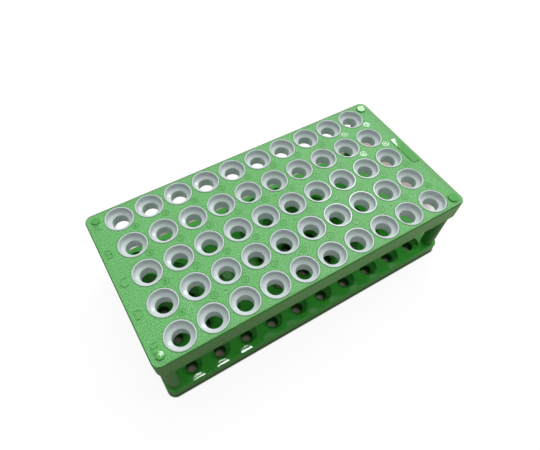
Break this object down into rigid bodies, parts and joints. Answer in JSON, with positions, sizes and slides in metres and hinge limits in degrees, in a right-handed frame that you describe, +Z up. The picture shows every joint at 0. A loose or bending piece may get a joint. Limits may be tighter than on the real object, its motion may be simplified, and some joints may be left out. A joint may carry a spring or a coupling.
{
  "type": "microcentrifuge tube rack",
  "caption": "Two-deck bench rack: a skirted upper deck of flanged tube cups stands on corner posts above a tray of dished wells.",
  "frame": {"origin": "on the table, at the middle of the base", "axes": "+X along a row towards column 10, +Y from the front row E to the back row A, +Z up"},
  "size_m": [0.2412, 0.1212, 0.067],
  "materials": {
    "deck_green": "fine moulded grain, satin green",
    "base_green": "smooth, glossy deep green",
    "post_green": "smooth green",
    "cup_grey": "smooth pale grey"
  },
  "bodies": {
    "root": {"deck": "deck_green", "base_tray": "base_green", "corner_post_front_left": "post_green", "corner_post_front_right": "post_green", "corner_post_back_left": "post_green", "corner_post_back_right": "post_green", "insert_e1": "cup_grey", "insert_e2": "cup_grey", "insert_e3": "cup_grey", "insert_e4": "cup_grey", "insert_e5": "cup_grey", "insert_e6": "cup_grey", "insert_e7": "cup_grey", "insert_e8": "cup_grey", "insert_e9": "cup_grey", "insert_e10": "cup_grey", "insert_d1": "cup_grey", "insert_d2": "cup_grey", "insert_d3": "cup_grey", "insert_d4": "cup_grey", "insert_d5": "cup_grey", "insert_d6": "cup_grey", "insert_d7": "cup_grey", "insert_d8": "cup_grey", "insert_d9": "cup_grey", "insert_d10": "cup_grey", "insert_c1": "cup_grey", "insert_c2": "cup_grey", "insert_c3": "cup_grey", "insert_c4": "cup_grey", "insert_c5": "cup_grey", "insert_c6": "cup_grey", "insert_c7": "cup_grey", "insert_c8": "cup_grey", "insert_c9": "cup_grey", "insert_c10": "cup_grey", "insert_b1": "cup_grey", "insert_b2": "cup_grey", "insert_b3": "cup_grey", "insert_b4": "cup_grey", "insert_b5": "cup_grey", "insert_b6": "cup_grey", "insert_b7": "cup_grey", "insert_b8": "cup_grey", "insert_b9": "cup_grey", "insert_b10": "cup_grey", "insert_a1": "cup_grey", "insert_a2": "cup_grey", "insert_a3": "cup_grey", "insert_a4": "cup_grey", "insert_a5": "cup_grey", "insert_a6": "cup_grey", "insert_a7": "cup_grey", "insert_a8": "cup_grey", "insert_a9": "cup_grey", "insert_a10": "cup_grey"}
  },
  "joints": []
}
